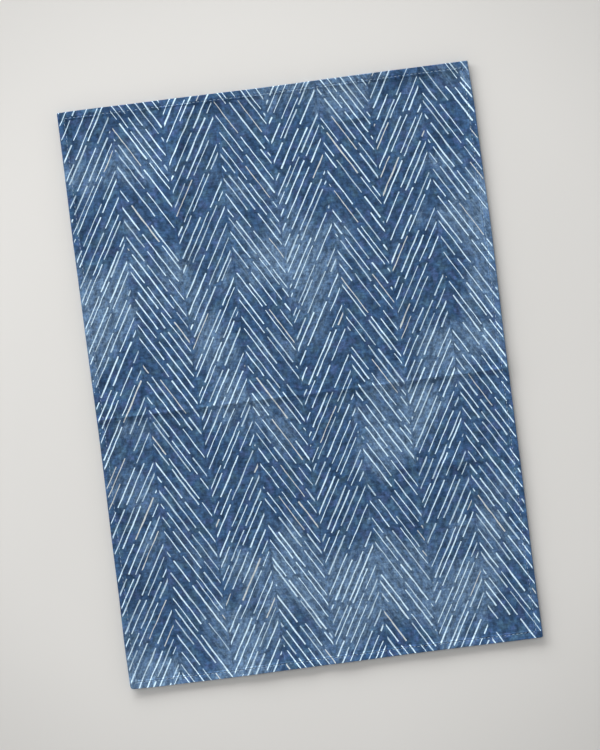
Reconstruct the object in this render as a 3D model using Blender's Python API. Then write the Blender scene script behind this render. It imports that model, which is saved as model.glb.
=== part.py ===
# Tea towel, lying flat on its back: one sheet of cotton cloth with its four edges turned under.
#
# Metres. +X runs along a short side, +Y along a long side towards the top hem, +Z up.
# The origin is on the surface that the towel lies on, under the middle of the cloth.

import math

import bmesh
import bpy

# Driving dimensions
WIDTH = 0.500
LENGTH = 0.700
CLOTH_THICK = 0.0010
HEM_WIDTH = 0.0095
HEM_THICK = 0.0020
CORNER_THICK = 0.0026
HEM_STEP = 0.0015
CORNER_ROUND = 0.0030
EDGE_ROUND = 0.0005

# The cloth beside a hem stands off the surface by this much, and comes down to it over this run
HEM_PROP = 0.0006
HEM_PROP_RUN = 0.0160

# All four sides stand a little off the surface, and the cloth comes down to it over this run
SIDE_LIFT = 0.0023
SIDE_LIFT_RUN = 0.0400

# Widest spacing of the points of the sheet
POINT_SPACING = 0.026
# Faces that meet at a smaller angle than this are shaded as one smooth surface
SMOOTH_ANGLE = math.radians(50)

MM = 0.001

# Folds, in millimetres from the middle of the towel.
# A ridge stands up along its line. A valley lies on the surface along its line, between two shoulders.
# bow is how far the middle of the line stands off the straight way, to its left.
# reach is the half width. sharp runs from 0, a soft swell, to 1, a pressed crease.
# fade is the run over which the fold dies away past each end.
# lean is the share by which a ridge is steeper to the left of its line, or to the right where below zero.
FOLD_COLUMNS = (
    "name", "kind", "from_x", "from_y", "to_x", "to_y", "bow", "height", "reach", "sharp", "fade", "lean",
)
FOLDS = (
    ("cross_crease", "ridge", -260, -23.2, 260, -23.2, -0.8, 1.9, 20, 0.7, 10, -0.60),
    ("long_crease", "valley", -13, 360, -14, -360, 0.5, 1.1, 62, 0.9, 10, 0.0),
    ("top_left_swell", "ridge", -97, 327, -117, 165, -10.5, 4.4, 30, 0.6, 24, 0.55),
    ("right_hollow", "valley", 120.5, 63, 119.5, -14, 0.0, 1.8, 30, 0.5, 22, 0.0),
    ("low_crease", "ridge", 52, -127.5, 190, -128.5, -0.5, 1.3, 20, 0.6, 30, -0.6),
    ("low_crease_knot", "ridge", 160, -129, 175, -131, 0.0, 2.2, 16, 0.4, 10, -0.4),
    ("top_hem_wrinkle", "ridge", 97, 297, 114, 298, 0.0, 1.2, 6, 0.4, 6, 0.0),
    ("left_swell", "ridge", -196, 60, -178, -150, 9.0, 1.0, 34, 0.1, 50, 0.0),
    ("low_left_swell", "ridge", -120, -210, -96, -330, 5.0, 1.2, 32, 0.1, 45, 0.0),
)

# The outline leaves a straight-sided rectangle by these amounts, in millimetres.
# at is the place along the side from the middle, spread is the half width of the bulge,
# out is how far it stands out, or in where it is below zero.
OUTLINE_COLUMNS = ("side", "at", "spread", "out")
OUTLINE = (
    ("top", 0, 900, -0.8),
    ("top", 0, 120, -0.7),
    ("top", -210, 60, 0.4),
    ("right", 0, 900, -0.5),
    ("right", 140, 130, 1.1),
    ("right", 350, 60, -1.8),
    ("right", -250, 90, -0.5),
    ("left", -50, 150, -0.8),
    ("left", -300, 70, 0.8),
    ("left", 200, 110, 0.4),
    ("bottom", -120, 90, 0.5),
    ("bottom", 110, 110, -0.5),
    ("bottom", -250, 40, -0.9),
)
# Only this far in from a side does the cloth follow the side's unevenness
OUTLINE_RUN = 0.120

# A pressed crease falls away from its line by this power of the way to its reach
CREASE_POWER = 1.5
# A valley's shoulders are highest at this share of its reach
SHOULDER_SHARE = 0.3


def rows(columns, table):
    """Each row of a table as a dictionary by column name."""
    return [dict(zip(columns, row)) for row in table]


def ease(t):
    """A smooth step from 0 to 1."""
    t = min(max(t, 0.0), 1.0)
    return t * t * (3.0 - 2.0 * t)


def bell(distance, reach):
    """1 on the spot, and a smooth fall to 0 at the reach."""
    return ease(1.0 - abs(distance) / reach)


# Outline


def uneven(side, along):
    """How far a side stands out at a place along it."""
    total = 0.0
    for row in rows(OUTLINE_COLUMNS, OUTLINE):
        if row["side"] == side:
            total += row["out"] * MM * bell(along - row["at"] * MM, row["spread"] * MM)
    return total


def outlined(x, y):
    """The place of a point of the straight-sided sheet once the sides are uneven."""
    near = {
        "right": ease(1.0 - (WIDTH / 2 - x) / OUTLINE_RUN),
        "left": ease(1.0 - (WIDTH / 2 + x) / OUTLINE_RUN),
        "top": ease(1.0 - (LENGTH / 2 - y) / OUTLINE_RUN),
        "bottom": ease(1.0 - (LENGTH / 2 + y) / OUTLINE_RUN),
    }
    moved_x = x + near["right"] * uneven("right", y) - near["left"] * uneven("left", y)
    moved_y = y + near["top"] * uneven("top", x) - near["bottom"] * uneven("bottom", x)
    return moved_x, moved_y


def rounded(x, y):
    """A point near a corner, drawn in so that the corner is round."""
    past_x = abs(x) - (WIDTH / 2 - CORNER_ROUND)
    past_y = abs(y) - (LENGTH / 2 - CORNER_ROUND)
    if past_x <= 0.0 or past_y <= 0.0:
        return x, y
    shrink = max(past_x, past_y) / math.hypot(past_x, past_y)
    new_x = WIDTH / 2 - CORNER_ROUND + past_x * shrink
    new_y = LENGTH / 2 - CORNER_ROUND + past_y * shrink
    return math.copysign(new_x, x), math.copysign(new_y, y)


# Folds


def fold_place(row, x, y):
    """(distance off a fold's line, distance past its nearer end) for a point."""
    from_x, from_y = row["from_x"] * MM, row["from_y"] * MM
    run_x = row["to_x"] * MM - from_x
    run_y = row["to_y"] * MM - from_y
    length = math.hypot(run_x, run_y)
    along = ((x - from_x) * run_x + (y - from_y) * run_y) / length
    off = ((y - from_y) * run_x - (x - from_x) * run_y) / length
    middle = 2.0 * min(max(along / length, 0.0), 1.0) - 1.0
    off -= row["bow"] * MM * (1.0 - middle * middle)
    past = max(-along, along - length, 0.0)
    return off, past


def ridge(off, row):
    """Height of a ridge: a soft swell mixed with a pressed crease."""
    reach = row["reach"] * MM * (1.0 - row["lean"] * math.copysign(1.0, off))
    swell = bell(off, reach)
    crease = max(1.0 - abs(off) / reach, 0.0) ** CREASE_POWER
    return (1.0 - row["sharp"]) * swell + row["sharp"] * crease


def valley(off, row):
    """Height of the two shoulders that a valley lies between."""
    shoulder = SHOULDER_SHARE * row["reach"] * MM
    soft = ease(abs(off) / shoulder)
    pressed = min(abs(off) / shoulder, 1.0)
    rise = (1.0 - row["sharp"]) * soft + row["sharp"] * pressed
    return rise * bell(max(abs(off) - shoulder, 0.0), row["reach"] * MM - shoulder)


def lift(x, y):
    """Height of the underside of the cloth over the surface, from the folds alone."""
    total = 0.0
    for row in rows(FOLD_COLUMNS, FOLDS):
        off, past = fold_place(row, x, y)
        profile = ridge if row["kind"] == "ridge" else valley
        total += row["height"] * MM * profile(off, row) * bell(past, row["fade"] * MM)
    return total


# Hems


def edge_distances(x, y):
    """Distances in from the nearer long side and the nearer short side."""
    return WIDTH / 2 - abs(x), LENGTH / 2 - abs(y)


def in_hem(distance):
    """1 in a hem, 0 past its inner edge."""
    return 1.0 - ease((distance - (HEM_WIDTH - HEM_STEP / 2)) / HEM_STEP)


def thickness(x, y):
    """The cloth is one layer in the middle, turned under in a hem, and fullest at a corner."""
    hem_x, hem_y = (in_hem(distance) for distance in edge_distances(x, y))
    hem = max(hem_x, hem_y)
    corner = min(hem_x, hem_y)
    return CLOTH_THICK + hem * (HEM_THICK - CLOTH_THICK) + corner * (CORNER_THICK - HEM_THICK)


def prop(x, y):
    """How far the sides, and the cloth beside a hem's inner edge, stand off the surface."""
    distance = min(edge_distances(x, y))
    beside = 1.0 - ease((distance - HEM_WIDTH - HEM_STEP / 2) / HEM_PROP_RUN)
    side = max(1.0 - distance / SIDE_LIFT_RUN, 0.0) ** 2
    return SIDE_LIFT * side + HEM_PROP * beside * (1.0 - in_hem(distance))


# Sheet


def spaced(stops):
    """Places through every stop, close together beside each stop and wider apart between them."""
    places = [stops[0]]
    for start, end in zip(stops, stops[1:]):
        steps = math.ceil(math.pi / 2 * (end - start) / POINT_SPACING)
        for step in range(1, steps + 1):
            places.append(start + (end - start) * (1.0 - math.cos(math.pi * step / steps)) / 2)
    return places


def hem_stops(half):
    """Places that a hem needs, from its inner edge out to where the rim bulges."""
    inner, outer = HEM_WIDTH + HEM_STEP / 2, HEM_WIDTH - HEM_STEP / 2
    return [half - inner, half - outer, half - CORNER_ROUND, half - CORNER_ROUND / 2, half - EDGE_ROUND]


def sheet_places(half, names, column):
    """Places of the sheet's points from one side to the other, with one on each named fold."""
    creases = [row[column] * MM for row in rows(FOLD_COLUMNS, FOLDS) if row["name"] in names]
    high = hem_stops(half)
    low = [-place for place in reversed(high)]
    return low[:-1] + spaced([low[-1]] + sorted(creases) + [high[0]]) + high[1:]


def flat_sheet(across, along):
    """A flat grid whose points keep their flat places in two layers of their own."""
    bm = bmesh.new()
    bmesh.ops.create_grid(bm, x_segments=len(across) - 1, y_segments=len(along) - 1, size=1.0)
    flat_x = bm.verts.layers.float.new("flat_x")
    flat_y = bm.verts.layers.float.new("flat_y")
    for vert in bm.verts:
        vert[flat_x] = across[round((vert.co.x + 1.0) / 2.0 * (len(across) - 1))]
        vert[flat_y] = along[round((vert.co.y + 1.0) / 2.0 * (len(along) - 1))]
    return bm


def flat_place(bm, vert):
    layers = bm.verts.layers.float
    return vert[layers["flat_x"]], vert[layers["flat_y"]]


def thicken(bm):
    """Gives the sheet an underside and its folds, and returns the points of the underside."""
    under = bmesh.ops.extrude_face_region(bm, geom=bm.faces[:])["geom"]
    under_verts = {item for item in under if isinstance(item, bmesh.types.BMVert)}
    for vert in bm.verts:
        x, y = flat_place(bm, vert)
        height = lift(x, y) + prop(x, y)
        if vert not in under_verts:
            height += thickness(x, y)
        vert.co = (*outlined(*rounded(x, y)), height)
    return under_verts


def bulge_rim(bm, under_verts):
    """Bulges the fold at the hem's outer edge out between the upper and the lower face."""
    rim = [edge for edge in bm.edges if len({vert in under_verts for vert in edge.verts}) == 2]
    cut = bmesh.ops.subdivide_edges(bm, edges=rim, cuts=1)["geom_inner"]
    for vert in (item for item in cut if isinstance(item, bmesh.types.BMVert)):
        upper = max((edge.other_vert(vert) for edge in vert.link_edges), key=lambda end: end.co.z)
        x, y = flat_place(bm, upper)
        past_x = max(abs(x) - (WIDTH / 2 - CORNER_ROUND), 0.0)
        past_y = max(abs(y) - (LENGTH / 2 - CORNER_ROUND), 0.0)
        bulge = EDGE_ROUND / math.hypot(past_x, past_y)
        vert.co.x += math.copysign(bulge * past_x, x)
        vert.co.y += math.copysign(bulge * past_y, y)


def centre(bm):
    """Puts the middle of the towel's box over the origin."""
    for axis in (0, 1):
        places = [vert.co[axis] for vert in bm.verts]
        middle = (min(places) + max(places)) / 2
        for vert in bm.verts:
            vert.co[axis] -= middle


def make_towel():
    across = sheet_places(WIDTH / 2, ("long_crease", "right_hollow", "top_left_swell"), "to_x")
    along = sheet_places(LENGTH / 2, ("cross_crease", "low_crease", "top_hem_wrinkle"), "from_y")
    bm = flat_sheet(across, along)
    under_verts = thicken(bm)
    bulge_rim(bm, under_verts)
    centre(bm)
    bmesh.ops.recalc_face_normals(bm, faces=bm.faces[:])
    bmesh.ops.triangulate(bm, faces=bm.faces[:])
    mesh = bpy.data.meshes.new("towel")
    bm.to_mesh(mesh)
    bm.free()
    mesh.shade_smooth()
    mesh.set_sharp_from_angle(angle=SMOOTH_ANGLE)
    towel = bpy.data.objects.new("towel", mesh)
    bpy.context.scene.collection.objects.link(towel)
    return towel


def blue_cotton():
    """Dyed cotton: mid denim blue, matt."""
    material = bpy.data.materials.new("blue_cotton")
    material.use_nodes = True
    shader = material.node_tree.nodes["Principled BSDF"]
    shader.inputs["Base Color"].default_value = (0.100, 0.168, 0.275, 1.0)
    shader.inputs["Roughness"].default_value = 0.88
    shader.inputs["Metallic"].default_value = 0.0
    return material


def main():
    for old in list(bpy.data.objects):
        bpy.data.objects.remove(old, do_unlink=True)
    towel = make_towel()
    towel.data.materials.append(blue_cotton())


main()
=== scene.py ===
import math

import bmesh
import bpy
import numpy as np
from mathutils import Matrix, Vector


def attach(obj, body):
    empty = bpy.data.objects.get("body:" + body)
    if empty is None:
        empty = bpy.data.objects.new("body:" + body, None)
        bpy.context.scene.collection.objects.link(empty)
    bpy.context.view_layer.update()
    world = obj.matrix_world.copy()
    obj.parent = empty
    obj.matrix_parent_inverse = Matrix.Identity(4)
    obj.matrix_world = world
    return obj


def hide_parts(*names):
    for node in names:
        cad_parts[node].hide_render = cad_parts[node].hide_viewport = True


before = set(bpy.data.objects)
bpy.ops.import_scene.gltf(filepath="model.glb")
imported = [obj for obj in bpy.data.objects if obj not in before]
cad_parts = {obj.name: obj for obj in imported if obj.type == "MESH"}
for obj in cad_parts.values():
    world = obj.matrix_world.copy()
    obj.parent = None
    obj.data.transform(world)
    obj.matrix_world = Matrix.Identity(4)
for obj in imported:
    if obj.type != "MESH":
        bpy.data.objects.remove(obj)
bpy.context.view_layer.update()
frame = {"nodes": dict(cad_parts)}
print("frame loaded:", ", ".join(frame["nodes"]))

mm = 0.001


# Small helpers

def table(columns, rows):
    return [dict(zip(columns, row)) for row in rows]


def ease(t):
    # a smooth step from 0 to 1
    t = np.clip(t, 0.0, 1.0)
    return t * t * (3.0 - 2.0 * t)


def bell(distance, reach):
    # 1 on the spot, and a smooth fall to 0 at the reach
    return ease(1.0 - np.abs(distance) / reach)


def addObject(name, data):
    thing = bpy.data.objects.new(name, data)
    bpy.context.scene.collection.objects.link(thing)
    return thing


def addNode(tree, kind, inputs=None, **settings):
    node = tree.nodes.new(kind)
    for name, value in settings.items():
        setattr(node, name, value)
    for name, value in (inputs or {}).items():
        # an input is joined to another node's output, or set to a plain value
        if isinstance(value, bpy.types.NodeSocket):
            tree.links.new(value, node.inputs[name])
        else:
            node.inputs[name].default_value = value
    return node


def calc(tree, operation, *values):
    return addNode(tree, "ShaderNodeMath", dict(enumerate(values)), operation=operation).outputs[0]


def ramp(tree, value, low, high, toLow=0.0, toHigh=1.0):
    # a soft step between two values, of which low may be the larger
    node = addNode(tree, "ShaderNodeMapRange", {
        "Value": value, "From Min": low, "From Max": high, "To Min": toLow, "To Max": toHigh,
    }, interpolation_type="SMOOTHSTEP")
    return node.outputs["Result"]


def scaleColour(tree, colour, amount):
    return addNode(tree, "ShaderNodeVectorMath", {0: colour, "Scale": amount}, operation="SCALE").outputs[0]


def mixColours(tree, share, first, second):
    # the colour sockets of this node go by number
    return addNode(tree, "ShaderNodeMix", {0: share, 6: first, 7: second}, data_type="RGBA").outputs[2]


def addNoise(tree, place, scale, detail, roughness=0.5):
    return addNode(tree, "ShaderNodeTexNoise", {
        "Vector": place, "Scale": scale, "Detail": detail, "Roughness": roughness,
    }, noise_dimensions="3D").outputs["Fac"]


def newGroup(name, inputs, outputs):
    # inputs and outputs are (name, socket type, value) and (name, socket type)
    group = bpy.data.node_groups.new(name, "ShaderNodeTree")
    for label, kind, value in inputs:
        socket = group.interface.new_socket(name=label, in_out="INPUT", socket_type=kind)
        if value is not None:
            socket.default_value = value
    for label, kind in outputs:
        group.interface.new_socket(name=label, in_out="OUTPUT", socket_type=kind)
    return group, group.nodes.new("NodeGroupInput").outputs, group.nodes.new("NodeGroupOutput").inputs


def placeGroup(tree, group, inputs):
    return addNode(tree, "ShaderNodeGroup", inputs, node_tree=group).outputs


# Shape of the cloth

towel = {
    "width": 0.500, "length": 0.700,
    "cloth": 0.75 * mm, "hem": 2.0 * mm, "corner": 2.6 * mm, "hemWidth": 9.5 * mm,
    # run of the step at a hem's inner edge, on the face and on the underside
    "hemStep": 1.4 * mm, "underStep": 0.2 * mm,
    # radius of a hem's outer fold, and the cloth that goes round it on each face
    "edgeRadius": 0.5 * mm, "rimWidth": 0.7 * mm,
    # radius of each corner, by the side of the middle that it lies on across and along
    "cornerRound": {(-1, 1): 1.6 * mm, (1, 1): 1.0 * mm, (1, -1): 2.2 * mm, (-1, -1): 4.0 * mm},
    # the stitches lie in a groove, this far in from the side
    "stitchLine": 7.7 * mm, "grooveDepth": 0.42 * mm, "grooveWidth": 1.1 * mm,
    # the cloth beside a hem stands off the surface, and comes down to it over a run
    "besideHem": 0.40 * mm, "besideHemRun": 15.0 * mm,
    # so do the sides all the way round, a little more here and less there
    "sideLift": 2.3 * mm, "sideLiftRun": 40.0 * mm,
    "liftUneven": 0.05, "liftWave": 160 * mm, "liftSeed": 31,

    # folds in millimetres from the middle: ridges stand up, valleys lie between two shoulders;
    # bow is how far the middle of the line stands off the straight way, to its left;
    # sharp runs from 0, a soft swell, to 1, a pressed crease; fade is the run past each end;
    # lean is the share by which the fold is steeper on the left of its line, seen from its start
    "foldColumns": ("name", "kind", "fromX", "fromY", "toX", "toY",
                    "bow", "height", "reach", "sharp", "fade", "lean"),
    "folds": (
        # the storage crease across: a swell, steep below and gentler above, and its pressed line
        ("crossSwell", "ridge", -260, -23.2, 260, -23.2, -0.8, 1.5, 21, 0.6, 10, -0.66),
        ("crossLine", "ridge", -260, -23.4, 260, -23.4, -0.8, 0.90, 3.4, 0.7, 10, -0.20),
        # the storage crease along, with a pressed line above the middle
        ("longCrease", "valley", -13, 360, -14, -360, 0.5, 0.9, 62, 0.7, 10, 0.0),
        ("longLine", "ridge", -15.8, 120, -15.8, -15, 0.0, 0.95, 6.5, 0.7, 60, 0.35),
        # the long soft fold at the upper left, whose wide foot is the last row
        ("upperLeftFold", "ridge", -97, 327, -117, 165, -10.5, 3.4, 26, 0.85, 24, 0.60),
        ("rightHollow", "valley", 120.5, 63, 119.5, -14, 0.0, 1.9, 29, 0.5, 22, 0.0),
        # the short crease at the lower right, which has a knot near its end
        ("lowCrease", "ridge", 52, -127.5, 190, -128.5, -0.5, 1.2, 21, 0.8, 30, -0.75),
        ("lowKnot", "ridge", 160, -129, 175, -131, 0.0, 2.6, 16, 0.4, 10, -0.40),
        ("hemWrinkle", "ridge", 97, 297, 114, 298, 0.0, 1.3, 6, 0.4, 6, -0.3),
        ("leftSwell", "ridge", -196, 60, -178, -150, 9.0, 1.0, 34, 0.1, 50, 0.0),
        ("lowLeftSwell", "ridge", -120, -210, -96, -330, 5.0, 1.2, 32, 0.1, 45, 0.0),
        ("upperLeftFoot", "ridge", -97, 327, -117, 165, -10.5, 1.8, 48, 0.7, 30, 0.05),
    ),
    # power by which a crease falls away, and share of a valley's reach at which its shoulders stand
    "creasePower": 1.5, "shoulderShare": 0.3,
    # small dents where a fold was pressed: height, wavelength and reach in mm
    "dentColumns": ("fold", "height", "wavelength", "reach"),
    "dents": (("crossLine", 0.20, 13.0, 8.0), ("upperLeftFold", 0.28, 13.0, 34.0),
              ("lowCrease", 0.24, 15.0, 13.0)),
    "dentSeed": 21,
    # fine unevenness: height in mm, wavelength in mm
    "ripples": ((0.22, 95.0), (0.10, 42.0), (0.045, 22.0)), "rippleSeed": 11,
    # each uneven field is this many waves, each with a length of its own
    "waves": 9, "waveStretch": (0.75, 1.35),

    # small gathers that run in from the stitches, more in some places than in others
    "gatherHeight": 0.26 * mm, "gatherLength": 17.0 * mm, "gatherRun": 15.0 * mm,
    "gatherLeast": 0.35, "gatherPatches": ((41.0, 1.3), (37.0, 0.4)),
    # share of them that is gone at the outer edge, and the run over which they start from it
    "gatherOutward": 0.75, "gatherEdge": 2.0 * mm,
    # how their places wander: how far, over how many lengths, how far across the hem, at what rate
    "gatherWander": {"across": (2.1, 2.3, 1.1, 9.0), "along": (2.4, 1.9, 0.7, 11.0)},

    # how far each side stands out (mm) at a place along it (mm), over a half width (mm)
    "outlineColumns": ("side", "at", "spread", "out"),
    "outline": (
        ("top", 0, 900, -0.8), ("top", 0, 120, -0.7), ("top", -210, 60, 0.4),
        ("right", 0, 900, -0.5), ("right", 140, 130, 1.1),
        ("right", 350, 60, -1.8), ("right", -250, 90, -0.5),
        ("left", -50, 150, -0.8), ("left", -300, 70, 0.8), ("left", 200, 110, 0.4),
        ("bottom", -120, 90, 0.5), ("bottom", 110, 110, -0.5), ("bottom", -250, 40, -0.9),
    ),
    "outlineRun": 0.120,

    # places of the sheet's points: in from a side (mm), and on the creases (mm from the middle)
    "hemLines": (0, 0.12, 0.5, 0.75, 2.2, 4.0, 5.8, 6.8, 7.3, 7.7, 8.1, 8.6, 9.1, 9.6, 10.1, 10.6, 12.0,
                 14.2, 17.2, 21.0, 25.5),
    "pointsAcross": (-124.0, -117.0, -110.0, -103.0, -17.8, -15.8, -13.6, -11.2, 120.0),
    "pointsAlong": (-134.0, -131.5, -129.0, -127.0, -31.0, -28.8, -27.2, -26.0, -24.8, -23.7, -22.7, -21.6,
                    -20.4, -19.0, -17.0, 297.5),
    # widest spacing between them, and how far they draw together at a crease
    "spacing": 3.15 * mm, "evenness": 0.62,
    # faces that meet at more than this angle keep a sharp edge
    "sharpAngle": 60.0,
    # underneath, points nearer the side than this are on the turned hem, and faces past it are plain
    "turnedTo": 9.65 * mm, "reverseFrom": 10.2 * mm,
    # share of the texture map that the face gets, and the border round each part
    "faceShare": 0.71, "mapBorder": 0.003,
}
foldRows = {row["name"]: row for row in table(towel["foldColumns"], towel["folds"])}


def foldPlace(row, x, y):
    # distance off a fold's line, and distance past its nearer end
    fromX, fromY = row["fromX"] * mm, row["fromY"] * mm
    runX, runY = row["toX"] * mm - fromX, row["toY"] * mm - fromY
    length = math.hypot(runX, runY)
    along = ((x - fromX) * runX + (y - fromY) * runY) / length
    off = ((y - fromY) * runX - (x - fromX) * runY) / length
    middle = 2.0 * np.clip(along / length, 0.0, 1.0) - 1.0
    off = off - row["bow"] * mm * (1.0 - middle * middle)
    return off, np.maximum(np.maximum(-along, along - length), 0.0)


def foldHeight(row, x, y):
    off, past = foldPlace(row, x, y)
    sharp = row["sharp"]
    reach = row["reach"] * mm * (1.0 - row["lean"] * np.sign(off))
    if row["kind"] == "ridge":
        crease = np.maximum(1.0 - np.abs(off) / reach, 0.0) ** towel["creasePower"]
        profile = (1.0 - sharp) * bell(off, reach) + sharp * crease
    else:
        shoulder = towel["shoulderShare"] * reach
        way = np.abs(off) / shoulder
        rise = (1.0 - sharp) * ease(way) + sharp * np.minimum(way, 1.0)
        profile = rise * bell(np.maximum(np.abs(off) - shoulder, 0.0), reach - shoulder)
    return row["height"] * mm * profile * bell(past, row["fade"] * mm)


def ripple(x, y, height, length, seed):
    # a smooth uneven field: waves in several directions, added up
    shortest, longest = towel["waveStretch"]
    waves = np.random.RandomState(seed).uniform((0, 0, shortest), (math.pi, math.tau, longest),
                                                (towel["waves"], 3))
    total = np.zeros_like(x)
    for angle, phase, stretch in waves:
        way = (x * math.cos(angle) + y * math.sin(angle)) / (length * stretch)
        total += np.sin(math.tau * way + phase)
    return height * total / math.sqrt(len(waves))


def sideDistances(x, y):
    # in from the nearer long side, and in from the nearer short side
    return towel["width"] / 2 - np.abs(x), towel["length"] / 2 - np.abs(y)


def inHem(distance, step=towel["underStep"]):
    # 1 in a hem, 0 past its inner edge
    return 1.0 - ease((distance - towel["hemWidth"] + step / 2) / step)


def underHeight(x, y, step=towel["underStep"]):
    # the underside lies on the surface but for the folds, the sides and a run beside each hem
    nearest = np.minimum(*sideDistances(x, y))
    folds = sum(foldHeight(row, x, y) for row in foldRows.values())
    fine = 0.0
    for number, (height, length) in enumerate(towel["ripples"]):
        fine = fine + ripple(x, y, height * mm, length * mm, towel["rippleSeed"] + number)
    for number, row in enumerate(table(towel["dentColumns"], towel["dents"])):
        off, past = foldPlace(foldRows[row["fold"]], x, y)
        dented = ripple(x, y, row["height"] * mm, row["wavelength"] * mm, towel["dentSeed"] + number)
        fine = fine + dented * bell(off, row["reach"] * mm) * bell(past, row["reach"] * mm)
    beside = towel["besideHem"] * (1.0 - ease((nearest - towel["hemWidth"]) / towel["besideHemRun"]))
    uneven = 1.0 + ripple(x, y, towel["liftUneven"], towel["liftWave"], towel["liftSeed"])
    lift = towel["sideLift"] * uneven * np.maximum(1.0 - nearest / towel["sideLiftRun"], 0.0) ** 2
    return np.maximum(folds + fine, 0.0) + beside * (1.0 - inHem(nearest, step)) + lift


def gatherWave(place, other, wander):
    # waves along one hem, whose places wander along it and across it
    by, over, acrossBy, rate = wander
    length = towel["gatherLength"]
    return np.sin(math.tau * place / length + by * np.sin(place / (over * length))
                  + acrossBy * np.sin(other * rate))


def gathers(x, y):
    across, along = sideDistances(x, y)
    nearest = np.minimum(across, along)
    (rateX, phaseX), (rateY, phaseY) = towel["gatherPatches"]
    patchy = 0.5 + 0.5 * np.sin(x * rateX + phaseX) * np.sin(y * rateY + phaseY)
    inward = np.maximum(nearest - towel["stitchLine"], 0.0)
    outward = np.maximum(towel["stitchLine"] - nearest, 0.0)
    run = np.exp(-(inward / towel["gatherRun"]) ** 2)
    run = run * (1.0 - towel["gatherOutward"] * outward / towel["stitchLine"])
    wave = np.where(along < across, gatherWave(x, y, towel["gatherWander"]["across"]),
                    gatherWave(y, x, towel["gatherWander"]["along"]))
    least = towel["gatherLeast"]
    share = (least + (1.0 - least) * patchy) * ease(nearest / towel["gatherEdge"])
    return towel["gatherHeight"] * wave * run * share


def thickness(x, y):
    # one layer of cloth, or turned twice in a hem, and fullest where two hems cross
    hemX, hemY = (inHem(distance) for distance in sideDistances(x, y))
    softX, softY = (inHem(distance, towel["hemStep"]) for distance in sideDistances(x, y))
    thick = towel["cloth"] + np.maximum(softX, softY) * (towel["hem"] - towel["cloth"])
    return thick + np.minimum(hemX, hemY) * (towel["corner"] - towel["hem"])


def roundEdge(x, y):
    # share of the half thickness that stands at this distance from the outer edge
    nearest = np.minimum(*sideDistances(x, y))
    way = 1.0 - np.clip(nearest / towel["edgeRadius"], 0.0, 1.0)
    return np.sqrt(np.maximum(1.0 - way * way, 0.0))


def groove(x, y):
    # where the stitches draw the hem in
    nearest = np.minimum(*sideDistances(x, y))
    return towel["grooveDepth"] * bell(nearest - towel["stitchLine"], towel["grooveWidth"])


def topHeight(x, y):
    top = underHeight(x, y, towel["hemStep"]) + thickness(x, y) * (0.5 + 0.5 * roundEdge(x, y))
    return top + gathers(x, y) - groove(x, y)


def bottomHeight(x, y):
    return underHeight(x, y) + thickness(x, y) * (0.5 - 0.5 * roundEdge(x, y)) + groove(x, y)


def roundedCorners(x, y):
    radius = sum(size * (np.sign(x) == across) * (np.sign(y) == along)
                 for (across, along), size in towel["cornerRound"].items())
    pastX = np.maximum(np.abs(x) - (towel["width"] / 2 - radius), 0.0)
    pastY = np.maximum(np.abs(y) - (towel["length"] / 2 - radius), 0.0)
    far = np.maximum(np.hypot(pastX, pastY), 1e-9)
    shrink = np.where((pastX > 0) & (pastY > 0), np.maximum(pastX, pastY) / far, 1.0)
    return x - np.sign(x) * pastX * (1.0 - shrink), y - np.sign(y) * pastY * (1.0 - shrink)


def unevenOutline(x, y):
    x, y = roundedCorners(x, y)
    shift = {"top": 0.0, "bottom": 0.0, "left": 0.0, "right": 0.0}
    for row in table(towel["outlineColumns"], towel["outline"]):
        place = x if row["side"] in ("top", "bottom") else y
        bulge = row["out"] * mm * bell(place - row["at"] * mm, row["spread"] * mm)
        shift[row["side"]] = shift[row["side"]] + bulge
    halfX, halfY, run = towel["width"] / 2, towel["length"] / 2, towel["outlineRun"]
    movedX = x + ease(1 - (halfX - x) / run) * shift["right"] - ease(1 - (halfX + x) / run) * shift["left"]
    movedY = y + ease(1 - (halfY - y) / run) * shift["top"] - ease(1 - (halfY + y) / run) * shift["bottom"]
    return movedX, movedY


def pointLines(half, creases):
    # close together at the hems and creases, wider apart between them
    lines = [half - distance * mm for distance in towel["hemLines"]]
    stops = [-lines[-1]] + sorted(place * mm for place in creases) + [lines[-1]]
    inner = [stops[0]]
    for start, end in zip(stops, stops[1:]):
        steps = math.ceil((end - start) / towel["spacing"])
        t = np.arange(1, steps + 1) / steps
        t = (1 - towel["evenness"]) * t + towel["evenness"] * (1 - np.cos(math.pi * t)) / 2
        inner += list(start + (end - start) * t)
    return np.array([-place for place in lines[:-1]] + inner + lines[:-1][::-1])


def quads(grid):
    # the four corners of every small square of a grid of point numbers
    return np.stack([grid[:-1, :-1], grid[:-1, 1:], grid[1:, 1:], grid[1:, :-1]], axis=-1).reshape(-1, 4)


def addMap(mesh, name, corners, above, below):
    # one place for each corner of the upper faces and of the lower ones
    upper = np.stack(above, axis=-1).reshape(-1, 2)[corners]
    lower = np.stack(below, axis=-1).reshape(-1, 2)[corners[:, ::-1]]
    places = np.concatenate([upper.reshape(-1, 2), lower.reshape(-1, 2)])
    mesh.uv_layers.new(name=name).data.foreach_set("uv", places.astype(np.float32).ravel())


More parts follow.
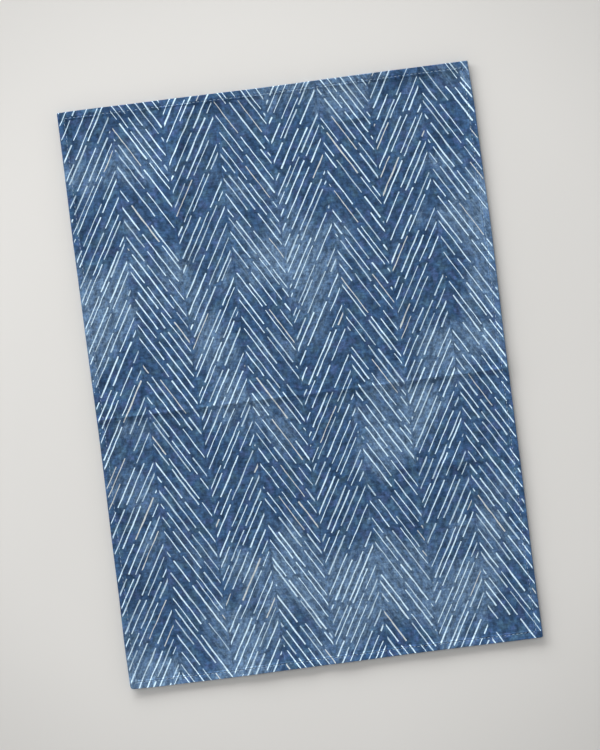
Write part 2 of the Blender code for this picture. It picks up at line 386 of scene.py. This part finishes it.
def addMaps(mesh, corners, flatX, flatY):
    # the flat cloth's own places, in metres; round the edge and on a turned hem the print runs on
    nearX, nearY = sideDistances(flatX, flatY)
    radius, rim = towel["edgeRadius"], towel["rimWidth"]
    rimX = np.sign(flatX) * rim * np.maximum(1 - nearX / radius, 0)
    rimY = np.sign(flatY) * rim * np.maximum(1 - nearY / radius, 0)
    turnedX = flatX + np.sign(flatX) * 2 * (nearX + rim) * (nearX <= towel["turnedTo"]) - rimX
    turnedY = flatY + np.sign(flatY) * 2 * (nearY + rim) * (nearY <= towel["turnedTo"]) - rimY
    addMap(mesh, "flatCloth", corners, (flatX + rimX, flatY + rimY), (turnedX, turnedY))

    # a map for painted textures: the face gets most of the square, the reverse the rest
    wideX = (flatX + rimX) / (towel["width"] + 2 * rim) + 0.5
    wideY = (flatY + rimY) / (towel["length"] + 2 * rim) + 0.5
    share, border = towel["faceShare"], towel["mapBorder"]
    mapY = border + wideY * (1 - 2 * border)
    addMap(mesh, "OFBake", corners, (border + wideX * (share - 2 * border), mapY),
           (share + border + wideX * (1 - share - 2 * border), mapY))
    mesh.uv_layers["flatCloth"].active = True
    mesh.uv_layers["flatCloth"].active_render = True


def makeCloth():
    xs = pointLines(towel["width"] / 2, towel["pointsAcross"])
    ys = pointLines(towel["length"] / 2, towel["pointsAlong"])
    flatX, flatY = np.meshgrid(xs, ys)
    rows, columns = flatX.shape
    placeX, placeY = unevenOutline(flatX, flatY)
    top = np.stack([placeX, placeY, topHeight(flatX, flatY)], axis=-1).reshape(-1, 3)
    low = np.stack([placeX, placeY, bottomHeight(flatX, flatY)], axis=-1).reshape(-1, 3)

    # the upper and the lower face share the points of the outer edge
    number = np.arange(rows * columns).reshape(rows, columns)
    edge = np.ones((rows, columns), bool)
    edge[1:-1, 1:-1] = False
    lowNumber = np.where(edge, number, 0)
    lowNumber[~edge] = rows * columns + np.arange((~edge).sum())
    points = np.concatenate([top, low[~edge.ravel()]])
    faces = np.concatenate([quads(number), quads(lowNumber)[:, ::-1]])
    mesh = bpy.data.meshes.new("towelCloth")
    mesh.from_pydata(points.tolist(), [], faces.tolist())
    addMaps(mesh, quads(number), flatX, flatY)

    # the plain reverse shows inside the turned hems
    nearest = np.minimum(*sideDistances(flatX, flatY)).reshape(-1)
    plain = nearest[quads(number)].max(axis=1) > towel["reverseFrom"]
    slots = np.concatenate([np.zeros(len(plain), np.int32), plain.astype(np.int32)])
    mesh.polygons.foreach_set("material_index", slots)
    mesh.validate()
    mesh.shade_smooth()
    mesh.set_sharp_from_angle(angle=math.radians(towel["sharpAngle"]))
    print("cloth:", rows, "by", columns, "points,", 2 * len(faces), "triangles")
    return addObject("towelCloth", mesh)


# Stitching

stitching = {
    "pitch": 5.0 * mm, "length": 3.6 * mm, "radius": 0.26 * mm,
    # how far the middle of a stitch stands proud of the face and of the underside
    "proud": 0.10 * mm, "proudBelow": 0.12 * mm,
    # how far its ends dive into the cloth, how suddenly, and how much thinner they are
    "dive": 0.55 * mm, "divePower": 3, "taper": 0.3,
    # how far it stands off the line, how far it is turned, and how long it is
    "wander": 0.12 * mm, "swing": 0.05, "lengthShare": (0.92, 1.06), "seed": 5,
    "rings": 7, "sides": 7,
}


def stitchSpots():
    # middle and direction of every stitch round the four hems
    halfX = towel["width"] / 2 - towel["stitchLine"]
    halfY = towel["length"] / 2 - towel["stitchLine"]
    corners = [(-halfX, halfY), (halfX, halfY), (halfX, -halfY), (-halfX, -halfY)]
    spots = []
    for start, end in zip(corners, corners[1:] + corners[:1]):
        start, end = np.array(start), np.array(end)
        run = np.linalg.norm(end - start)
        count = round(run / stitching["pitch"])
        way = (end - start) / run
        for number in range(count):
            spots.append((start + way * run * (number + 0.5) / count, way))
    return spots


def addStitch(points, faces, middles, side, radii):
    # a round thread along its middles, closed at both ends
    base, sides = len(points), stitching["sides"]
    for (x, y, z), radius in zip(middles, radii):
        for spoke in range(sides):
            turn = math.tau * spoke / sides
            out = radius * math.cos(turn)
            points.append((x + side[0] * out, y + side[1] * out, z + radius * math.sin(turn)))
    last = base + (len(radii) - 1) * sides
    for first in range(base, last, sides):
        second = first + sides
        for spoke in range(sides):
            following = (spoke + 1) % sides
            faces.append((first + spoke, second + spoke, second + following, first + following))
    faces.append(tuple(base + spoke for spoke in range(sides)))
    faces.append(tuple(last + spoke for spoke in reversed(range(sides))))


def makeStitches():
    draw = np.random.RandomState(stitching["seed"])
    way = np.linspace(-1.0, 1.0, stitching["rings"])
    radii = stitching["radius"] * (1.0 - stitching["taper"] * way * way)
    dive = stitching["dive"] * np.abs(way) ** stitching["divePower"]
    points, faces = [], []
    for middle, along in stitchSpots():
        wander = draw.normal(0.0, stitching["wander"])
        swing = draw.normal(0.0, stitching["swing"])
        run = way * stitching["length"] / 2 * draw.uniform(*stitching["lengthShare"])
        side = np.array([-along[1], along[0]])
        line = middle + np.outer(run, along) + np.outer(wander + swing * run, side)
        # the stitches of the underside lie half a pitch further on
        lowLine = line + along * stitching["pitch"] / 2
        high = topHeight(*line.T) + stitching["proud"] - dive
        low = bottomHeight(*lowLine.T) - stitching["proudBelow"] + dive
        for place, height in ((line, high), (lowLine, low)):
            placeX, placeY = unevenOutline(*place.T)
            addStitch(points, faces, np.column_stack([placeX, placeY, height]), side, radii)
    mesh = bpy.data.meshes.new("hemStitching")
    mesh.from_pydata(points, [], faces)
    bm = bmesh.new()
    bm.from_mesh(mesh)
    bmesh.ops.recalc_face_normals(bm, faces=bm.faces[:])
    bm.to_mesh(mesh)
    bm.free()
    mesh.shade_smooth()
    print("stitches:", len(stitchSpots()), "on each side of the cloth")
    return addObject("hemStitching", mesh)


# Print: a herringbone of broken pinstripes

stripes = {
    "column": 62.5 * mm, "slant": 60.0,
    "pitch": 8.1 * mm, "stroke": 1.40 * mm, "dash": 62.0 * mm, "gap": 5.0 * mm, "dashUneven": 0.9,
    # slow wobble of a stroke: scale of the noise, and how far it moves the stroke
    "wobbleScale": 55.0, "wobble": 1.4 * mm,
    # share of the pitch at which a row's strokes lie, and how many dashes the rows slide past each other
    "rowPlace": (0.25, 0.75), "rowSlide": 90.0,
    # half width as a share of the stroke, and how it changes with the wobble
    "halfWidth": (0.36, 0.58), "widthRamp": (0.3, 0.7, 0.8, 1.2),
    # a stroke's edge runs between these shares of its half width
    "edgeShares": (1.2, 0.8), "endRun": 0.8 * mm,
    # strokes stop short of a column's edge, and a few are left out
    "columnRamp": (1.2 * mm, 2.0 * mm), "leftOutRamp": (0.07, 0.09),
    # strength of the ink by tone, and the tones from which it is cream
    "strengthRamp": (0.0, 0.6, 0.66, 1.0), "creamRamp": (0.88, 0.90),
    # faint strokes between the others, in the haze: their sizes as shares, and their strength by haze
    "faint": {"pitch": 0.57, "stroke": 0.85, "dash": 0.5}, "faintRamp": (0.05, 0.8, 0.03, 0.28),
    "seed": 1.0, "faintSeed": 7.0,
    "ink": (0.640, 0.840, 0.990, 1), "cream": (0.560, 0.620, 0.640, 1),
}


def makeHerringboneGroup():
    # places along and across the slant, which turns the other way in every second column
    group, given, result = newGroup("herringbonePlace", (
        ("Place", "NodeSocketVector", None), ("Column", "NodeSocketFloat", 0.0625),
    ), (("Local", "NodeSocketVector"), ("From Column Edge", "NodeSocketFloat")))
    place = addNode(group, "ShaderNodeSeparateXYZ", {"Vector": given["Place"]})
    x, y = place.outputs["X"], place.outputs["Y"]
    column = calc(group, "FLOOR", calc(group, "DIVIDE", x, given["Column"]))
    inColumn = calc(group, "SUBTRACT", x, calc(group, "MULTIPLY", column, given["Column"]))
    other = calc(group, "SUBTRACT", given["Column"], inColumn)
    odd = calc(group, "FLOORED_MODULO", column, 2.0)
    turned = calc(group, "MULTIPLY_ADD", odd, calc(group, "SUBTRACT", other, inColumn), inColumn)
    cosine, sine = math.cos(math.radians(stripes["slant"])), math.sin(math.radians(stripes["slant"]))
    along = calc(group, "MULTIPLY_ADD", turned, cosine, calc(group, "MULTIPLY", y, sine))
    across = calc(group, "MULTIPLY_ADD", y, cosine, calc(group, "MULTIPLY", turned, -sine))
    local = addNode(group, "ShaderNodeCombineXYZ", {"X": along, "Y": across, "Z": column})
    group.links.new(local.outputs[0], result["Local"])
    group.links.new(calc(group, "MINIMUM", inColumn, other), result["From Column Edge"])
    return group


def makeStripeGroup():
    # straight broken pinstripes, one row beside the next, each with its own width and tone
    group, given, result = newGroup("brokenPinstripes", (
        ("Place", "NodeSocketVector", None), ("Local", "NodeSocketVector", None),
        ("From Column Edge", "NodeSocketFloat", 0.0),
        ("Pitch", "NodeSocketFloat", 0.008), ("Stroke", "NodeSocketFloat", 0.0012),
        ("Dash", "NodeSocketFloat", 0.06), ("Gap", "NodeSocketFloat", 0.004),
        ("Seed", "NodeSocketFloat", 0.0),
    ), (("Mask", "NodeSocketFloat"), ("Tone", "NodeSocketFloat")))
    wobble = addNoise(group, given["Place"], stripes["wobbleScale"], 1.0)
    shaken = calc(group, "MULTIPLY", calc(group, "SUBTRACT", wobble, 0.5), stripes["wobble"])
    along, across, column = addNode(group, "ShaderNodeSeparateXYZ", {"Vector": given["Local"]}).outputs

    # each row of each column draws its own place and start
    rows = calc(group, "DIVIDE", calc(group, "ADD", across, shaken), given["Pitch"])
    row = calc(group, "FLOOR", rows)
    key = addNode(group, "ShaderNodeCombineXYZ", {"X": row, "Y": column, "Z": given["Seed"]}).outputs[0]
    drawn = addNode(group, "ShaderNodeTexWhiteNoise", {"Vector": key}, noise_dimensions="3D")
    chance = addNode(group, "ShaderNodeSeparateColor", {"Color": drawn.outputs["Color"]}).outputs
    inRow = calc(group, "SUBTRACT", rows, row)
    rowPlace = ramp(group, chance["Red"], 0.0, 1.0, *stripes["rowPlace"])
    offLine = calc(group, "ABSOLUTE", calc(group, "SUBTRACT", inRow, rowPlace))
    off = calc(group, "MULTIPLY", offLine, given["Pitch"])
    dashes = calc(group, "DIVIDE", along, given["Dash"])
    dashes = calc(group, "MULTIPLY_ADD", chance["Green"], stripes["rowSlide"], dashes)

    # each dash draws its own tone and width
    cell = {"W": dashes, "Scale": 1.0, "Randomness": stripes["dashUneven"]}
    cells = addNode(group, "ShaderNodeTexVoronoi", cell, voronoi_dimensions="1D", feature="F1")
    ends = addNode(group, "ShaderNodeTexVoronoi", cell, voronoi_dimensions="1D",
                   feature="DISTANCE_TO_EDGE")
    tone = addNode(group, "ShaderNodeSeparateColor", {"Color": cells.outputs["Color"]}).outputs
    share = ramp(group, tone["Blue"], 0.0, 1.0, *stripes["halfWidth"])
    half = calc(group, "MULTIPLY", given["Stroke"], share)
    half = calc(group, "MULTIPLY", half, ramp(group, wobble, *stripes["widthRamp"]))
    outer, inner = (calc(group, "MULTIPLY", half, edge) for edge in stripes["edgeShares"])
    stroke = ramp(group, off, outer, inner)
    fromEnd = calc(group, "MULTIPLY", ends.outputs["Distance"], given["Dash"])
    halfGap = calc(group, "MULTIPLY", given["Gap"], 0.5)
    between = ramp(group, fromEnd, halfGap, calc(group, "ADD", halfGap, stripes["endRun"]))
    clear = ramp(group, given["From Column Edge"], *stripes["columnRamp"])
    present = ramp(group, tone["Green"], *stripes["leftOutRamp"])
    mask = calc(group, "MULTIPLY", stroke, between)
    mask = calc(group, "MULTIPLY", mask, calc(group, "MULTIPLY", clear, present))
    group.links.new(mask, result["Mask"])
    group.links.new(tone["Red"], result["Tone"])
    return group


# Dye: a mottled blue with paler hazy patches

dye = {
    "deep": (0.0125, 0.048, 0.122, 1), "mid": (0.043, 0.099, 0.204, 1), "violet": (0.057, 0.098, 0.232, 1),
    "teal": (0.059, 0.131, 0.211, 1), "haze": (0.084, 0.153, 0.268, 1), "pale": (0.200, 0.312, 0.436, 1),
    # mottles on the flat cloth, or along the slant of the print as if brushed
    "mottleColumns": ("name", "on", "scale", "detail", "roughness", "stretch", "shift"),
    "mottles": (
        ("broad", "flat", 8.0, 2.0, 0.5, (1.0, 1.0, 1.0), 1.7),
        ("cloud", "flat", 27.0, 2.0, 0.5, (1.0, 0.75, 1.0), 5.9),
        ("depth", "flat", 46.0, 2.0, 0.6, (1.0, 0.8, 1.0), 4.1),
        ("hue", "flat", 75.0, 1.0, 0.5, (1.0, 1.0, 1.0), 9.3),
        ("brushed", "slant", 1.0, 2.0, 0.6, (16.0, 105.0, 3.7), 2.2),
        ("fleck", "slant", 1.0, 2.0, 0.65, (190.0, 330.0, 5.1), 6.4),
        ("patch", "slant", 1.0, 1.0, 0.5, (100.0, 180.0, 2.9), 3.3),
        ("grain", "flat", 1.0, 2.0, 0.65, (230.0, 300.0, 1.0), 8.8),
    ),
    "shiftAlong": 0.7,
    # what the haze is made of, with more of it towards the bottom hem, and where it starts and is full
    "hazeShares": {"broad": 0.62, "cloud": 0.12, "brushed": 0.16},
    "hemwardRamp": (-0.33, -0.13, 0.045, 0.0), "hazeRamp": (0.43, 0.57),
    # shares of the other colours, and of the pale flecks in the haze
    "depthRamp": (0.34, 0.64, 0.30, 0.76), "violetRamp": (0.54, 0.66, 0.0, 0.6),
    "tealRamp": (0.46, 0.34, 0.0, 0.6), "fleckRamp": (0.48, 0.66, 0.0, 0.58),
    # fine changes of tone
    "patchRamp": (0.32, 0.68, 0.72, 1.29), "grainRamp": (0.30, 0.70, 0.70, 1.28),
}


def makeDyeGroup():
    group, given, result = newGroup("blueWash", (
        ("Place", "NodeSocketVector", None), ("Local", "NodeSocketVector", None),
    ), (("Color", "NodeSocketColor"), ("Haze", "NodeSocketFloat")))
    mottle = {}
    for row in table(dye["mottleColumns"], dye["mottles"]):
        place = addNode(group, "ShaderNodeMapping", {
            "Vector": given["Place"] if row["on"] == "flat" else given["Local"],
            "Scale": row["stretch"], "Location": (row["shift"], row["shift"] * dye["shiftAlong"], 0.0),
        }).outputs[0]
        mottle[row["name"]] = addNoise(group, place, row["scale"], row["detail"], row["roughness"])

    shares = dye["hazeShares"]
    drift = calc(group, "MULTIPLY", mottle["cloud"], shares["cloud"])
    drift = calc(group, "MULTIPLY_ADD", mottle["broad"], shares["broad"], drift)
    along = addNode(group, "ShaderNodeSeparateXYZ", {"Vector": given["Place"]}).outputs["Y"]
    drift = calc(group, "ADD", drift, ramp(group, along, *dye["hemwardRamp"]))
    drift = calc(group, "MULTIPLY_ADD", mottle["brushed"], shares["brushed"], drift)
    haze = ramp(group, drift, *dye["hazeRamp"])

    colour = mixColours(group, ramp(group, mottle["depth"], *dye["depthRamp"]), dye["deep"], dye["mid"])
    colour = mixColours(group, ramp(group, mottle["hue"], *dye["violetRamp"]), colour, dye["violet"])
    colour = mixColours(group, ramp(group, mottle["hue"], *dye["tealRamp"]), colour, dye["teal"])
    colour = mixColours(group, haze, colour, dye["haze"])
    flecks = calc(group, "MULTIPLY", haze, ramp(group, mottle["fleck"], *dye["fleckRamp"]))
    colour = mixColours(group, flecks, colour, dye["pale"])
    tone = calc(group, "MULTIPLY", ramp(group, mottle["patch"], *dye["patchRamp"]),
                ramp(group, mottle["grain"], *dye["grainRamp"]))
    group.links.new(scaleColour(group, colour, tone), result["Color"])
    group.links.new(haze, result["Haze"])
    return group


# Weave

weave = {
    "thread": 0.6 * mm,
    # slubs: scale of the noise in threads, how far it is drawn out, and how high they stand
    "slubScale": 0.55, "slubStretch": 0.05, "slubHeight": 0.6,
    "toneRamp": (0.35, 0.65), "bump": 0.35, "bumpDepth": 0.15 * mm,
}


def makeWeaveGroup():
    # plain weave: height of the threads, and a tone that differs from thread to thread
    group, given, result = newGroup("plainWeave", (
        ("Place", "NodeSocketVector", None), ("Thread", "NodeSocketFloat", 0.0006),
    ), (("Height", "NodeSocketFloat"), ("Tone", "NodeSocketFloat")))
    threads = scaleColour(group, given["Place"], calc(group, "DIVIDE", 1.0, given["Thread"]))
    place = addNode(group, "ShaderNodeSeparateXYZ", {"Vector": threads})
    waves = [calc(group, "SINE", calc(group, "MULTIPLY", place.outputs[axis], math.pi)) for axis in "XY"]
    height = calc(group, "MULTIPLY_ADD", calc(group, "MULTIPLY", *waves), 0.5, 0.5)
    slubs = []
    for stretch in ((1.0, weave["slubStretch"], 1.0), (weave["slubStretch"], 1.0, 1.0)):
        drawn = addNode(group, "ShaderNodeMapping", {"Vector": threads, "Scale": stretch}).outputs[0]
        slubs.append(addNoise(group, drawn, weave["slubScale"], 1.0))
    tone = calc(group, "MULTIPLY", calc(group, "ADD", *slubs), 0.5)
    group.links.new(calc(group, "MULTIPLY_ADD", tone, weave["slubHeight"], height), result["Height"])
    group.links.new(tone, result["Tone"])
    return group


# Materials

finish = {
    "specular": 0.16, "sheenRoughness": 0.5,
    "face": {"roughness": 0.85, "sheen": 0.05, "threadContrast": 0.14},
    # painted highlight: the hem band's colour is made a little paler than the cloth inside it, where light
    # catches the hem
    "hemHighlightRamp": (8.2 * mm, 9.2 * mm, 1.10, 1.0),
    # the reverse: how much of the dye and of the strokes shows through, and how wide the strokes spread
    "reverse": {"roughness": 0.9, "sheen": 0.05, "threadContrast": 0.08},
    "reverseColour": (0.560, 0.600, 0.640, 1),
    "dyeThrough": 0.32, "strokesThrough": 0.35, "strokeSpread": 1.2,
    "thread": {"roughness": 0.7, "sheen": 0.1},
    "threadColour": (0.400, 0.520, 0.650), "twistScale": 900.0, "twistRamp": (0.3, 0.7, 0.8, 1.12),
    "twistBump": 0.4, "twistDepth": 0.1 * mm,
    "floorRoughness": 0.8, "floorColour": (0.700, 0.690, 0.670),
    "floorCloudScale": 2.2, "floorCloudRamp": (0.2, 0.8, 0.985, 1.015),
    # painted pool of light: the floor's colour is paler round the towel than further out
    "floorLightPoolRamp": (0.39, 0.64, 1.0, 0.865),
}


def startMaterial(name, roughness, sheen=0.0):
    material = bpy.data.materials.new(name)
    material.use_nodes = True
    shader = material.node_tree.nodes["Principled BSDF"]
    shader.inputs["Roughness"].default_value = roughness
    shader.inputs["Specular IOR Level"].default_value = finish["specular"]
    shader.inputs["Sheen Weight"].default_value = sheen
    shader.inputs["Sheen Roughness"].default_value = finish["sheenRoughness"]
    return material, material.node_tree, shader


def addBump(tree, shader, height, strength, depth):
    bump = addNode(tree, "ShaderNodeBump", {"Height": height, "Strength": strength, "Distance": depth})
    tree.links.new(bump.outputs["Normal"], shader.inputs["Normal"])


def stripeNodes(tree, groups, place, bones, seed, pitch=1.0, stroke=1.0, dash=1.0):
    return placeGroup(tree, groups["stripes"], {
        "Place": place, "Local": bones["Local"], "From Column Edge": bones["From Column Edge"],
        "Pitch": stripes["pitch"] * pitch, "Stroke": stripes["stroke"] * stroke,
        "Dash": stripes["dash"] * dash, "Gap": stripes["gap"], "Seed": seed,
    })


def clothNodes(tree, groups):
    # the nodes that the face and the reverse share
    place = addNode(tree, "ShaderNodeUVMap", uv_map="flatCloth").outputs["UV"]
    bones = placeGroup(tree, groups["herringbone"], {"Place": place, "Column": stripes["column"]})
    ground = placeGroup(tree, groups["dye"], {"Place": place, "Local": bones["Local"]})
    threads = placeGroup(tree, groups["weave"], {"Place": place, "Thread": weave["thread"]})
    return place, bones, ground, threads


def sideDistanceNode(tree, place):
    # how far in from the nearest side a place of the flat cloth is
    away = addNode(tree, "ShaderNodeVectorMath", {0: place}, operation="ABSOLUTE").outputs[0]
    half = (towel["width"] / 2, towel["length"] / 2, 0.0)
    inward = addNode(tree, "ShaderNodeVectorMath", {0: half, 1: away}, operation="SUBTRACT").outputs[0]
    sides = addNode(tree, "ShaderNodeSeparateXYZ", {"Vector": inward}).outputs
    return calc(tree, "MINIMUM", sides["X"], sides["Y"])


def finishWoven(tree, shader, colour, threads, contrast):
    # threads differ a little in tone, and stand up as a plain weave
    tone = ramp(tree, threads["Tone"], *weave["toneRamp"], 1 - contrast, 1 + contrast)
    tree.links.new(scaleColour(tree, colour, tone), shader.inputs["Base Color"])
    addBump(tree, shader, threads["Height"], weave["bump"], weave["bumpDepth"])


def makePrintedFace(groups):
    face = finish["face"]
    material, tree, shader = startMaterial("printedFace", face["roughness"], face["sheen"])
    place, bones, ground, threads = clothNodes(tree, groups)
    main = stripeNodes(tree, groups, place, bones, stripes["seed"])
    faint = stripeNodes(tree, groups, place, bones, stripes["faintSeed"], **stripes["faint"])
    ghost = calc(tree, "MULTIPLY", faint["Mask"], ramp(tree, ground["Haze"], *stripes["faintRamp"]))
    colour = mixColours(tree, ghost, ground["Color"], dye["pale"])
    creamy = ramp(tree, main["Tone"], *stripes["creamRamp"])
    ink = mixColours(tree, creamy, stripes["ink"], stripes["cream"])
    strength = calc(tree, "MULTIPLY", main["Mask"], ramp(tree, main["Tone"], *stripes["strengthRamp"]))
    colour = mixColours(tree, strength, colour, ink)
    # painted highlight: the colour is made paler over the hem band
    colour = scaleColour(tree, colour, ramp(tree, sideDistanceNode(tree, place), *finish["hemHighlightRamp"]))
    finishWoven(tree, shader, colour, threads, face["threadContrast"])
    return material


def makeReverse(groups):
    reverse = finish["reverse"]
    material, tree, shader = startMaterial("plainReverse", reverse["roughness"], reverse["sheen"])
    place, bones, ground, threads = clothNodes(tree, groups)
    main = stripeNodes(tree, groups, place, bones, stripes["seed"], stroke=finish["strokeSpread"])
    colour = mixColours(tree, finish["dyeThrough"], finish["reverseColour"], ground["Color"])
    shown = calc(tree, "MULTIPLY", main["Mask"], finish["strokesThrough"])
    colour = mixColours(tree, shown, colour, finish["reverseColour"])
    finishWoven(tree, shader, colour, threads, reverse["threadContrast"])
    return material


def makeThread():
    material, tree, shader = startMaterial("paleThread", **finish["thread"])
    place = addNode(tree, "ShaderNodeTexCoord").outputs["Object"]
    twist = addNoise(tree, place, finish["twistScale"], 1.0)
    tone = ramp(tree, twist, *finish["twistRamp"])
    tree.links.new(scaleColour(tree, finish["threadColour"], tone), shader.inputs["Base Color"])
    addBump(tree, shader, twist, finish["twistBump"], finish["twistDepth"])
    return material


def makeFloorFinish():
    material, tree, shader = startMaterial("paleFloor", finish["floorRoughness"])
    place = addNode(tree, "ShaderNodeTexCoord").outputs["Object"]
    cloudy = addNoise(tree, place, finish["floorCloudScale"], 3.0)
    fromMiddle = addNode(tree, "ShaderNodeVectorMath", {0: place}, operation="LENGTH").outputs["Value"]
    # the floor's tone: random clouds, times a painted pool of light round the towel
    tone = calc(tree, "MULTIPLY", ramp(tree, cloudy, *finish["floorCloudRamp"]),
                ramp(tree, fromMiddle, *finish["floorLightPoolRamp"]))
    tree.links.new(scaleColour(tree, finish["floorColour"], tone), shader.inputs["Base Color"])
    return material


# Floor, light and camera

studio = {
    "floorSize": 16.0,
    # the floor lies this far below the towel's lowest points
    "floorDrop": 0.3 * mm,
    # turn of the towel in the picture, and how much the longer side of the picture takes in
    "towelTurn": 7.33, "cameraHeight": 6.0, "viewLong": 0.9023, "sensor": 36.0,
    # a wide low light from the upper left, and a faint one from above
    "keyHeading": 123.0, "keyLift": 18.5, "keyDistance": 5.0, "keySize": (7.4, 2.0), "keyPower": 420.0,
    "topPlace": (-0.35, 0.05, 1.4), "topSize": (1.0, 1.0), "topPower": 3.5,
    # the studio walls are brighter than its ceiling
    "fillColour": (1.0, 0.995, 0.985, 1.0), "fillHigh": 0.235, "fillLow": 2.38, "fillLowTop": 0.55,
}


def makeFloor():
    bm = bmesh.new()
    bmesh.ops.create_grid(bm, x_segments=2, y_segments=2, size=studio["floorSize"] / 2)
    mesh = bpy.data.meshes.new("floor")
    bm.to_mesh(mesh)
    bm.free()
    floor = addObject("floor", mesh)
    floor.location.z = -studio["floorDrop"]
    floor.data.materials.append(makeFloorFinish())


def addAreaLight(name, place, size, power):
    data = bpy.data.lights.new(name, "AREA")
    data.shape = "ELLIPSE"
    data.size, data.size_y = size
    data.energy = power
    light = addObject(name, data)
    light.location = place
    light.rotation_euler = (-Vector(place)).to_track_quat("-Z", "Y").to_euler()
    light.visible_camera = False


def makeStudio():
    scene = bpy.context.scene
    scene.view_settings.view_transform = "Standard"
    world = bpy.data.worlds.new("studio")
    scene.world = world
    world.use_nodes = True
    tree = world.node_tree
    background = tree.nodes["Background"]
    background.inputs["Color"].default_value = studio["fillColour"]
    direction = addNode(tree, "ShaderNodeTexCoord").outputs["Generated"]
    up = addNode(tree, "ShaderNodeSeparateXYZ", {"Vector": direction}).outputs["Z"]
    high = studio["fillHigh"]
    strength = ramp(tree, up, 0.0, studio["fillLowTop"], high + studio["fillLow"], high)
    tree.links.new(strength, background.inputs["Strength"])
    heading = math.radians(studio["keyHeading"] - studio["towelTurn"])
    lift = math.radians(studio["keyLift"])
    key = Vector((math.cos(heading) * math.cos(lift), math.sin(heading) * math.cos(lift), math.sin(lift)))
    addAreaLight("keyLight", key * studio["keyDistance"], studio["keySize"], studio["keyPower"])
    addAreaLight("topLight", Vector(studio["topPlace"]), studio["topSize"], studio["topPower"])


def makeCamera():
    data = bpy.data.cameras.new("camera")
    data.sensor_width = studio["sensor"]
    data.lens = studio["sensor"] * studio["cameraHeight"] / studio["viewLong"]
    camera = addObject("camera", data)
    camera.location = (0.0, 0.0, studio["cameraHeight"])
    camera.rotation_euler = (0.0, 0.0, math.radians(-studio["towelTurn"]))
    bpy.context.scene.camera = camera


# Making

makeCamera()
cloth = makeCloth()
stitches = makeStitches()

groups = {
    "herringbone": makeHerringboneGroup(), "stripes": makeStripeGroup(),
    "dye": makeDyeGroup(), "weave": makeWeaveGroup(),
}
cloth.data.materials.append(makePrintedFace(groups))
cloth.data.materials.append(makeReverse(groups))
stitches.data.materials.append(makeThread())
print("materials made")

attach(cloth, "root")
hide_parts("towel")
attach(stitches, "root")

makeFloor()
makeStudio()
print("floor, light and camera made")
